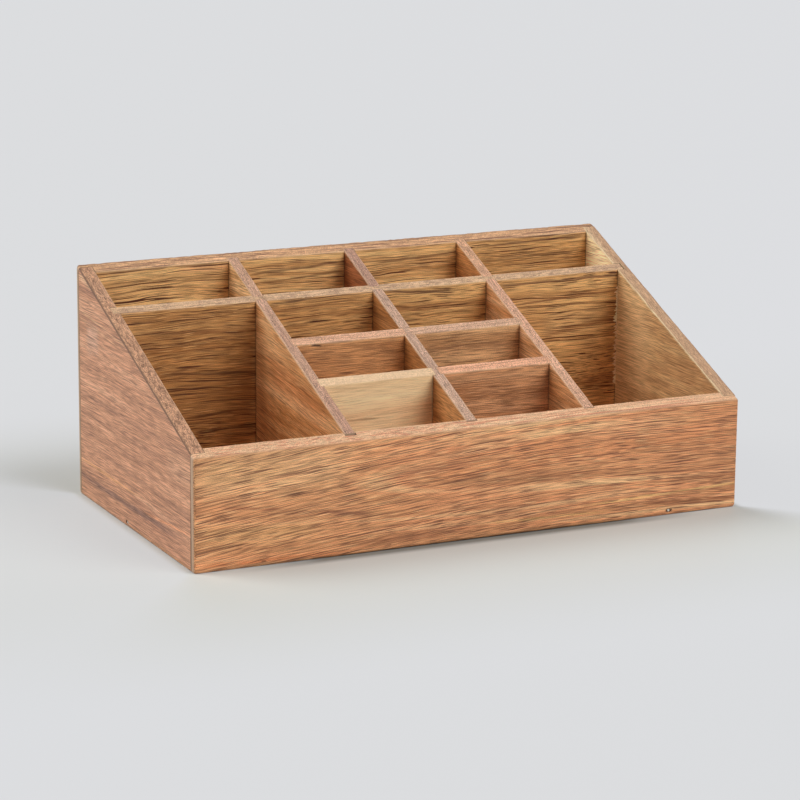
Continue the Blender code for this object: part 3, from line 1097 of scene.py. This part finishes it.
RIGHT_WOOD = Wood(
    deep=(172, 131, 87), mid=(184, 143, 97), warm=(191, 154, 106), pale=(204, 165, 117),
    pore=(92, 55, 33), top=(192, 155, 125), edge=(146, 92, 66), edge_share=0.6, mottle=0.3,
    stain=(139, 99, 73), speck=0.12, lift=1.2, band_width=0.007, streak=0.11, lines=0.3, pores=0.36,
    # Its inner arrises carry a strong painted highlight along with their wear.
    wear_and_highlight_share=0.9, arris=(232, 209, 165),
    marks=marks(
        (26, 65, 34, 50, (224, 187, 137), 0.45), (-56, 60, 32, 30, (166, 120, 79), 0.25),
        # The pale patch at 65 mm is painted light: it brightens the rear of the inner face, where the
        # lamps reach too little.
        (65, 80, 33, 70, (254, 228, 178), 1), reach=0.003) + marks(
        (-40.2, 61.4, 38.2, 9, (167, 123, 79), 0.5, 0.085)))
CROSS_WOOD = Wood(
    deep=(170, 118, 69), mid=(196, 144, 86), warm=(210, 159, 99), pale=(229, 180, 116),
    pore=(84, 45, 19), top=(215, 180, 146), mottle=0.45, stain=(118, 85, 75), lift=1.12,
    band_width=0.0036, warp=0.002, curl=0.0005, streak=0.17, speck=0.14, lines=1.0, pores=0.65,
    marks=marks(
        (118, 78, 24, 12, (239, 195, 131), 0.38), (-100, 48, 15, 28, (199, 145, 90), 0.35),
        (-76, 70, 13, 45, (105, 66, 34), 0.35), (-104, 64, 42, 70, (151, 102, 52), 0.75),
        (-33, 80, 30, 60, (181, 126, 72), 0.5),
        (106.7, 100.6, 47.8, 1, (101, 62, 41), 0.8, 0.001),
        (111.6, 90.9, 41.5, 0.8, (113, 66, 38), 0.75, 0.051),
        (119.6, 74.3, 31.3, 2.5, (141, 86, 43), 0.6, 0.163),
        (132.1, 40.1, 13.4, 1.2, (97, 52, 17), 0.85, -0.039),
        (-49.4, 102.2, 15.9, 0.9, (76, 50, 36), 0.85, 0.06),
        (22.8, 101.1, 23.9, 0.9, (86, 56, 39), 0.8, -0.082),
        (-93.5, 68.2, 34.5, 1, (74, 39, 15), 0.8, -0.063),
        (-104.9, 61.1, 17.7, 1, (80, 41, 19), 0.8, -0.016),
        (-90.8, 46.8, 20, 1.2, (82, 45, 17), 0.8, 0.061),
        (-86.4, 38.3, 23.4, 1, (65, 33, 11), 0.8, 0.014),
        (-102.5, 90.4, 46.8, 1.2, (102, 59, 30), 0.6, -0.065),
        (-96.4, 73.1, 33.3, 1.5, (207, 148, 86), 0.5, -0.166)))
LEFT_FRONT_WOOD = Wood(
    deep=(173, 112, 60), mid=(191, 132, 80), warm=(205, 149, 97), pale=(223, 174, 123),
    pore=(93, 48, 20), top=(184, 148, 131), lift=1.11, tilt=0.1, **FRONT_PART,
    marks=marks(
        (-16.8, 66.5, 46.2, 12, (181, 110, 64), 0.5, 0.152),
        (19.3, 90.8, 11.3, 8, (218, 170, 119), 0.5, 0.571)))
CENTRE_FRONT_WOOD = Wood(
    deep=(144, 90, 43), mid=(159, 102, 54), warm=(168, 111, 61), pale=(186, 128, 76),
    pore=(82, 42, 17), top=(198, 167, 148), lift=1.09, tilt=0.05, **FRONT_PART,
    marks=marks(
        (-62, 50, 24, 50, (195, 139, 85), 0.75)))
RIGHT_FRONT_WOOD = Wood(
    deep=(171, 111, 62), mid=(193, 133, 85), warm=(205, 149, 101), pale=(221, 170, 127),
    pore=(87, 45, 19), top=(214, 169, 143), lift=1.11, tilt=0.08, **FRONT_PART,
    marks=marks(
        (-57.9, 64, 13, 10, (201, 142, 95), 0.3, 0.182)))
LEFT_REAR_WOOD = Wood(
    deep=(203, 146, 88), mid=(217, 163, 105), warm=(224, 177, 123), pale=(237, 195, 142),
    pore=(122, 69, 34), top=(191, 154, 134), lift=1.04, pores=0.5)
CENTRE_REAR_WOOD = Wood(
    deep=(110, 57, 28), mid=(139, 78, 40), warm=(156, 92, 53), pale=(184, 109, 66),
    pore=(57, 22, 7), top=(180, 146, 128), lift=1.06, streak=0.22)
RIGHT_REAR_WOOD = Wood(
    deep=(147, 83, 43), mid=(175, 111, 62), warm=(197, 135, 77), pale=(222, 164, 96),
    pore=(81, 37, 13), top=(204, 160, 133), lift=1.12)
LEFT_BACK_SHORT_WOOD = Wood(
    deep=(178, 120, 73), mid=(192, 135, 87), warm=(203, 147, 98), pale=(219, 164, 112),
    pore=(97, 55, 28), top=(227, 179, 149), lift=1.1,
    marks=marks(
        (-52.4, 87.3, 3.7, 1.1, (34, 22, 20), 1, -0.136),
        (-41.4, 88, 10.5, 0.8, (109, 63, 46), 0.7, -0.022)))
PALE_WOOD = Wood(
    deep=(229, 187, 140), mid=(237, 202, 154), warm=(240, 211, 164), pale=(240, 222, 173),
    pore=(145, 99, 65), top=(225, 190, 154), lift=1.12, band_width=0.009, streak=0.1, lines=0.1,
    fleck=0.18, speck=0.12, mottle=0.05, top_streak=0.1, pores=0.22,
    marks=marks(
        (-42.5, 55.5, 11.5, 0.9, (178, 140, 103), 0.7, -0.009),
        (-47.1, 71.8, 19.9, 2, (211, 173, 129), 0.4, 0.026)))
RIGHT_BACK_SHORT_WOOD = Wood(
    deep=(175, 125, 80), mid=(195, 145, 98), warm=(206, 156, 108), pale=(224, 175, 125),
    pore=(99, 58, 30), top=(207, 168, 143), lift=1.13,
    marks=marks(
        (36.1, 79, 33.1, 2, (140, 94, 60), 0.5, -0.025)))
RIGHT_FRONT_SHORT_WOOD = Wood(
    deep=(166, 112, 71), mid=(188, 133, 90), warm=(200, 146, 102), pale=(219, 165, 120),
    pore=(91, 52, 25), top=(236, 179, 145), lift=1.12, streak=0.24,
    marks=marks(
        (33.2, 76.4, 39.2, 3.5, (215, 133, 99), 0.45, -0.003),
        (48, 59.3, 17.4, 6, (148, 98, 60), 0.5, 0.107)))

COLUMNS = {"left": (LEFT_FRONT_WOOD, LEFT_REAR_WOOD, "wood_dividers"),
           "centre": (CENTRE_FRONT_WOOD, CENTRE_REAR_WOOD, "wood_dividers_dark"),
           "right": (RIGHT_FRONT_WOOD, RIGHT_REAR_WOOD, "wood_dividers")}
SHORTS = {"left": {"short_divider_left_back": (LEFT_BACK_SHORT_WOOD, "wood_dividers_dark"),
                   "short_divider_left_front": (PALE_WOOD, "wood_dividers_pale")},
          "right": {"short_divider_right_back": (RIGHT_BACK_SHORT_WOOD, "wood_dividers"),
                    "short_divider_right_front": (RIGHT_FRONT_SHORT_WOOD, "wood_dividers_dark")}}


def limits(node: str, axis: int) -> Limits:
    """Lowest and highest place of a node along an axis."""
    low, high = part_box(node)
    return float(low[axis]), float(high[axis])


def dress(node: bpy.types.Object, material: bpy.types.Material) -> None:
    """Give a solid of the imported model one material."""
    for slot in node.material_slots:
        slot.material = material


@dataclass
class Organizer:
    """The whole set of boards, each placed by the box of the node that it stands for."""

    shop: WoodShop
    bore: bpy.types.Object

    @staticmethod
    def _slots(nodes: tuple[str, ...], axis: int, depth: float) -> tuple[Housing, ...]:
        """A housing for each board that enters a face, as wide as that board and its gap."""
        places = (limits(node, axis) for node in nodes)
        return tuple(Housing(low - TIGHT_GAP, high + TIGHT_GAP, depth) for low, high in places)

    @staticmethod
    def _board(name: str, run: Run, wood: Wood, trim: float = 0.0, **options: object) -> Board:
        """A board with the limits of its node, shortened at its low end.

        Args:
            name: the node's name.
            run: the way that the board lies.
            wood: what it looks like.
            trim: how much shorter it is than its node.
            options: further fields of Board.

        Returns:
            The board, not built yet.
        """
        along, across = (0, 1) if run is Run.ALONG_X else (1, 0)
        low, high = limits(name, along)
        return Board(name, run, (low + trim, high), limits(name, across), limits(name, 2)[0], wood,
                     **options)

    def walls(self) -> list[Board]:
        """Lay out the front and back panels and the two sides.

        Returns:
            The four boards.
        """
        left, right, cross = (limits(n, 0) for n in ("left_side", "right_side", "cross_divider"))
        front, back = limits("front_panel", 1), limits("back_panel", 1)
        fronts, rears = ([f"{c}_divider_{part}" for c in COLUMNS] for part in ("front", "rear"))
        half = WIDTH / 2 + 0.001
        front_laps, back_laps = (
            (Housing(-half, left[1] + TIGHT_GAP, wall[1] - wall[0] - CORNER_LIP, False),
             Housing(right[0] - TIGHT_GAP, half, wall[1] - wall[0] - CORNER_LIP, False))
            for wall in (front, back))
        into_front = front[1] - limits(fronts[0], 1)[0] - FRONT_END_TRIM
        into_back = limits(rears[0], 1)[1] - back[0] + TIGHT_GAP
        for name, gap in zip(fronts, FRONT_END_GAPS):
            front_laps += self._slots((name,), 0, into_front + gap)
        panel = {"rounded_ends": True, "bore": self.bore, "slot": "wood_walls"}
        side = {"entries": (front[1], back[0]), "bore": self.bore, "slot": "wood_walls"}
        return [
            self._board("front_panel", Run.ALONG_X, FRONT_WOOD, outer=Outer.LOW, arch=0.0002,
                        low_foot=EDGE_ROUND, high_housings=front_laps, outer_arris=0.0005, seed=11,
                        **panel),
            self._board("back_panel", Run.ALONG_X, BACK_WOOD, outer=Outer.HIGH,
                        high_foot=EDGE_ROUND, outer_arris=EDGE_ROUND + 0.00007, seed=12,
                        low_housings=back_laps + self._slots(rears, 0, into_back), **panel),
            self._board("left_side", Run.ALONG_Y, LEFT_WOOD, outer=Outer.LOW, toe=0.0004,
                        low_foot=EDGE_ROUND, outer_arris=0.0005, seed=13, high_housings=self._slots(
                            ("cross_divider",), 1, left[1] - cross[0] + TIGHT_GAP), **side),
            self._board("right_side", Run.ALONG_Y, RIGHT_WOOD, outer=Outer.HIGH,
                        high_foot=EDGE_ROUND, seed=14, low_housings=self._slots(
                            ("cross_divider",), 1, cross[1] - right[0] + NOTCH_GAP), **side)]

    def dividers(self) -> list[Board]:
        """Lay out the cross divider, the fore-and-aft dividers and the short ones.

        Returns:
            The eleven boards.
        """
        cross = limits("cross_divider", 1)
        fronts, rears = ([f"{c}_divider_{part}" for c in COLUMNS] for part in ("front", "rear"))
        into_front = limits(fronts[0], 1)[1] - cross[0] + TIGHT_GAP
        into_back = cross[1] - limits(rears[0], 1)[0] + TIGHT_GAP
        boards = [self._board("cross_divider", Run.ALONG_X, CROSS_WOOD, seed=21,
                              low_housings=self._slots(fronts, 0, into_front),
                              high_housings=self._slots(rears, 0, into_back),
                              entries=(limits("left_side", 0)[1], limits("right_side", 0)[0]))]
        bays = ((), tuple(SHORTS["left"]), tuple(SHORTS["right"]), ())
        for number, (front_wood, rear_wood, slot) in enumerate(COLUMNS.values()):
            face = limits(fronts[number], 0)
            low, high = bays[number:number + 2]
            into_low = limits(low[0], 0)[1] - face[0] + TIGHT_GAP if low else 0.0
            into_high = face[1] - limits(high[0], 0)[0] + TIGHT_GAP if high else 0.0
            boards += [
                self._board(fronts[number], Run.ALONG_Y, front_wood, FRONT_END_TRIM,
                            low_housings=self._slots(low, 1, into_low),
                            high_housings=self._slots(high, 1, into_high),
                            entries=(limits("front_panel", 1)[1], cross[0]), seed=31 + number),
                self._board(rears[number], Run.ALONG_Y, rear_wood, seed=41 + number, slot=slot,
                            entries=(cross[1], limits("back_panel", 1)[0]))]
        for bay, shorts in enumerate(SHORTS.values()):
            ends = (limits(fronts[bay], 0)[1], limits(fronts[bay + 1], 0)[0])
            for row, (name, (wood, slot)) in enumerate(shorts.items()):
                boards.append(self._board(name, Run.ALONG_X, wood, entries=ends, slot=slot,
                                          seed=51 + 2 * bay + row))
        return boards

    def dress_bottom(self) -> None:
        """Give the bottom panel's own solid a board's finish."""
        dress(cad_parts["bottom_panel"], self.shop.material(
            "bottom_panel", CENTRE_FRONT_WOOD, Run.ALONG_X, 61, -DEPTH / 2))

    @staticmethod
    def dress_pins() -> None:
        """Give the wire pins a dull drawn-steel finish."""
        material, graph, shader = new_material("pin_wire")
        place = graph.node("ShaderNodeTexCoord").outputs["Object"]
        fine = graph.node("ShaderNodeVectorMath", {0: place, 3: 2600.0}, operation="SCALE")
        tarnish = graph.smooth(graph.noise(fine.outputs[0], 2.0, 0.6), 0.35, 0.65)
        steel = graph.mix(tarnish, linear((196, 190, 178)), linear((232, 226, 214)))
        graph.feed(shader, {"Base Color": steel, "Metallic": 0.6,
                            "Roughness": graph.smooth(tarnish, 0.0, 1.0, 0.5, 0.3)})
        for name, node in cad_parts.items():
            if name.startswith("pin_"):
                dress(node, material)


@dataclass
class Splinters:
    """Pale slivers along the sanded arrises, and the teeth that the saw tore at a housing.

    Spans say where the arris slivers are: the board, the limits along it and their number.
    """

    spans: tuple[tuple[str, float, float, int], ...] = (
        ("front_panel", 0.086, 0.138, 16), ("front_panel", -0.1425, -0.136, 4),
        ("front_panel", -0.120, 0.080, 9), ("cross_divider", -0.138, 0.138, 14))
    inset: float = 0.0003
    sunk: float = 0.00022
    length: Limits = (0.0009, 0.0034)
    overhang: Limits = (0.00015, 0.00055)
    rise: Limits = (-0.0001, 0.0003)
    thickness: Limits = (0.00008, 0.00016)
    torn: Limits = (0.041, 0.094)
    teeth: int = 36
    tooth_length: Limits = (0.0009, 0.0026)
    tooth_rise: Limits = (-0.0006, 0.0002)
    tooth_height: Limits = (0.45, 0.9)
    seed: int = 5

    def _arris_slivers(self, rng: np.random.Generator) -> tuple[np.ndarray, ...]:
        """Places of the slivers on the inner arrises of the front and the cross divider.

        Each one runs along its board and up to 0.5 mm out over the edge.

        Args:
            rng: the source of the random sizes.

        Returns:
            Roots, tips and half sizes of the roots.
        """
        roots, tips = [], []
        for node, low, high, count in self.spans:
            out, side = (1.0, 1) if node == "front_panel" else (-1.0, 0)
            x = rng.uniform(low, high, count)
            y = np.full(count, limits(node, 1)[side] - out * self.inset)
            length = rng.uniform(*self.length, count) * rng.choice([-1, 1], count)
            away = out * (self.inset + rng.uniform(*self.overhang, count))
            roots.append(np.stack([x, y, plane_height(y) - self.sunk], 1))
            tips.append(roots[-1] + np.stack([length, away, rng.uniform(*self.rise, count)], 1))
        half = rng.uniform(*self.thickness, sum(len(root) for root in roots))
        return np.concatenate(roots), np.concatenate(tips), half[:, None] * [[0.0, 1.0, 1.0]]

    def _torn_teeth(self, rng: np.random.Generator) -> tuple[np.ndarray, ...]:
        """Places of the teeth on the right side's inner face, before the cross divider's housing.

        They stand one over the other at even steps, shaken by a third of a step, and point inwards.

        Args:
            rng: the source of the random sizes.

        Returns:
            Roots, tips and half sizes of the roots.
        """
        low, high = self.torn
        step = (high - low) / self.teeth
        z = low + step * (np.arange(self.teeth) + 0.5 + rng.uniform(-0.33, 0.33, self.teeth))
        root = np.stack([0 * z + limits("right_side", 0)[0] + 0.00002,
                         0 * z + limits("cross_divider", 1)[0] - 0.00028, z], 1)
        length = rng.uniform(*self.tooth_length, self.teeth)
        rise = rng.uniform(*self.tooth_rise, self.teeth)
        tip = root + np.stack([-length, 0 * z - 0.00005, rise], 1)
        tall = rng.uniform(*self.tooth_height, self.teeth) * step
        return root, tip, np.stack([0 * z, 0 * z + 0.0002, tall], 1)

    def build(self, shop: WoodShop) -> bpy.types.Object:
        """Make all slivers as one mesh.

        Each one is a pyramid: a root of four corners at its half sizes, in the wood, and a tip.

        Args:
            shop: makes the wood.

        Returns:
            The finished piece.
        """
        rng = np.random.default_rng(self.seed)
        sets = self._arris_slivers(rng), self._torn_teeth(rng)
        root, tip, half = (np.concatenate(parts) for parts in zip(*sets))
        corners = np.array([[0, -1, -1], [0, 1, -1], [0, 1, 1], [0, -1, 1]])[None] * half[:, None]
        points = np.concatenate([root[:, None] + corners, tip[:, None]], 1)
        forward = (tip - root)[:, :1] > 0
        base = 5 * np.arange(len(root))[:, None]
        faces = []
        for pattern in ([0, 1, 4], [1, 2, 4], [2, 3, 4], [3, 0, 4], [3, 2, 1, 0]):
            side = base + [pattern]
            faces += np.where(forward, side, side[:, ::-1]).tolist()
        mesh = new_mesh("arris_splinters", points, faces)
        mesh.materials.append(shop.material("splinters", PALE_WOOD, Run.ALONG_X, 71, -DEPTH / 2))
        piece = new_object("arris_splinters", mesh)
        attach(piece, "root")
        return piece


@dataclass(frozen=True)
class Lamp:
    """A far soft lamp, with its angular size, its azimuth and its climb in degrees."""

    name: str
    energy: float
    softness: float
    azimuth: float
    climb: float


@dataclass
class Studio:
    """The pale table, the soft light and the camera.

    The camera sees the table mostly in the plain backdrop colour. Kept is the share of the lit
    surface, and so of the organizer's shadow, that it sees along the front and back and at a
    distance before them. Beside is what is left of that share past the left and right sides, and
    widening is how the fade there grows with the distance before the front, and its least width.
    A line of painted contact shade lies along the foot of the front and the back: foot is where it
    fades out and in before them, and corner is where it does so along them.
    """

    table_colour: Colour = (207, 209, 203)
    backdrop: Colour = (221, 222, 225)
    sky: float = 0.024
    lamps: tuple[Lamp, ...] = (
        Lamp("key", 2.08, 45.0, 307.0, 38.0), Lamp("rim", 1.96, 35.0, 147.0, 42.0),
        Lamp("fill", 0.65, 60.0, 200.0, 45.0))
    kept: Limits = (0.88, 0.12)
    kept_distance: float = 0.18
    beside: Limits = (0.45, 0.12)
    widening: Limits = (1.2, 0.005)
    foot: Limits = (0.0090, 0.0030)
    corner: Limits = (0.138, 0.080)
    contact_shade_colour: Colour = (60, 60, 52)
    contact_shade_share: float = 0.62
    rings: int = 24
    spokes: int = 48
    reach: float = 60.0
    lens: float = 143.08
    place: tuple[float, float, float] = (-0.68763, -1.43069, 0.44177)
    right: tuple[float, float, float] = (0.90315, -0.42923, 0.00875)
    ahead: tuple[float, float, float] = (0.41881, 0.87638, -0.23781)

    def table(self) -> None:
        """A flat table top under the organizer: a polar grid of radius times cosine and sine."""
        radii = np.geomspace(0.05, self.reach, self.rings)[:, None, None]
        angle = np.linspace(0, 2 * pi, self.spokes, endpoint=False)
        ring = (radii * np.stack([np.cos(angle), np.sin(angle)], 1)).reshape(-1, 2)
        flat = np.concatenate([np.zeros((1, 2)), ring])
        points = np.concatenate([flat, np.full((len(flat), 1), -0.00002)], 1)
        near = np.arange(self.spokes)
        fan = np.stack([0 * near, 1 + near, 1 + (near + 1) % self.spokes], 1)
        quads = (1 + ring_quads(self.rings, self.spokes)).reshape(-1, 4)[:, ::-1]
        mesh = new_mesh("table_top", points, fan.tolist() + quads.tolist())
        mesh.materials.append(self._table_finish())
        new_object("table_top", mesh)

    def _table_finish(self) -> bpy.types.Material:
        """The table's finish, which keeps a share of the light and shadow on it and paints a contact
        shade.

        Returns:
            The material.
        """
        material, graph, shader = new_material("table_white")
        x, y, _ = graph.split(graph.node("ShaderNodeTexCoord").outputs["Object"])
        before = graph.less(graph.math("ABSOLUTE", y), DEPTH / 2)
        kept = graph.smooth(before, 0.0, self.kept_distance, *self.kept)
        fade = graph.fit(graph.math("MAXIMUM", before, 0.0), *self.widening)
        for side, share in zip((-1.0, 1.0), self.beside):
            off = graph.fit(x, side, -WIDTH / 2)
            kept = graph.times(kept, graph.smooth(off, 0.0, fade, 1.0, share))
        # Painted contact shade: the table's colour darkens in a line along the organizer's foot.
        foot = graph.times(graph.smooth(before, *self.foot),
                           graph.smooth(graph.math("ABSOLUTE", x), *self.corner))
        kept = graph.math("MAXIMUM", kept, foot)
        lit = graph.mix(graph.times(foot, self.contact_shade_share), linear(self.table_colour),
                        linear(self.contact_shade_colour))
        graph.feed(shader, {"Base Color": lit, "Roughness": 0.5, "Specular IOR Level": 0.1})
        share = graph.times(graph.seen(), graph.less(1.0, kept))
        glow = graph.node("ShaderNodeEmission", {0: linear(self.backdrop), 1: 1.0}).outputs[0]
        both = graph.node("ShaderNodeMixShader", {0: share, 1: shader.outputs[0], 2: glow})
        graph.feed(graph.tree.nodes["Material Output"], {"Surface": both.outputs[0]})
        return material

    def light(self) -> None:
        """A pale surround that only the camera and reflections see, and the soft lamps."""
        world = bpy.data.worlds.new("studio")
        bpy.context.scene.world = world
        world.use_nodes = True
        world.node_tree.nodes.clear()
        graph = Graph(world.node_tree)
        white = (1.0, 1.0, 1.0, 1.0)
        lit, shown = (graph.node("ShaderNodeBackground", {0: colour, 1: strength}).outputs[0]
                      for colour, strength in ((white, self.sky), (linear(self.backdrop), 1.0)))
        both = graph.node("ShaderNodeMixShader", {0: graph.seen(), 1: lit, 2: shown})
        graph.node("ShaderNodeOutputWorld", {0: both.outputs[0]})
        for lamp in self.lamps:
            data = bpy.data.lights.new(lamp.name, "SUN")
            data.energy = lamp.energy
            data.angle = radians(lamp.softness)
            turn, climb = radians(lamp.azimuth), radians(lamp.climb)
            down = -Vector((cos(climb) * cos(turn), cos(climb) * sin(turn), sin(climb)))
            new_object(lamp.name, data).rotation_euler = down.to_track_quat("-Z", "Y").to_euler()

    def camera(self) -> None:
        """The camera at the photograph's place, with its roll."""
        data = bpy.data.cameras.new("camera")
        data.lens = self.lens
        data.sensor_width = 36.0
        data.clip_end = 200.0
        back = -Vector(self.ahead).normalized()
        up = back.cross(Vector(self.right).normalized()).normalized()
        turn = Matrix((up.cross(back), up, back)).transposed()
        made = new_object("camera", data)
        made.matrix_world = Matrix.Translation(self.place) @ turn.to_4x4()
        bpy.context.scene.camera = made


def main() -> None:
    """Build the organizer, piece by piece, and the studio round it."""
    logging.basicConfig(level=logging.INFO, format="%(name)s: %(message)s")
    bpy.context.scene.view_settings.view_transform = "Standard"
    shop = WoodShop()
    organizer = Organizer(shop, PinHoles().cutter())
    for part in (*organizer.walls(), *organizer.dividers(), Splinters()):
        piece = part.build(shop)
        LOG.info("%s: %d faces", piece.name, len(piece.data.polygons))
    organizer.dress_bottom()
    organizer.dress_pins()
    studio = Studio()
    studio.table()
    studio.light()
    studio.camera()


if __name__ == "__main__":
    main()
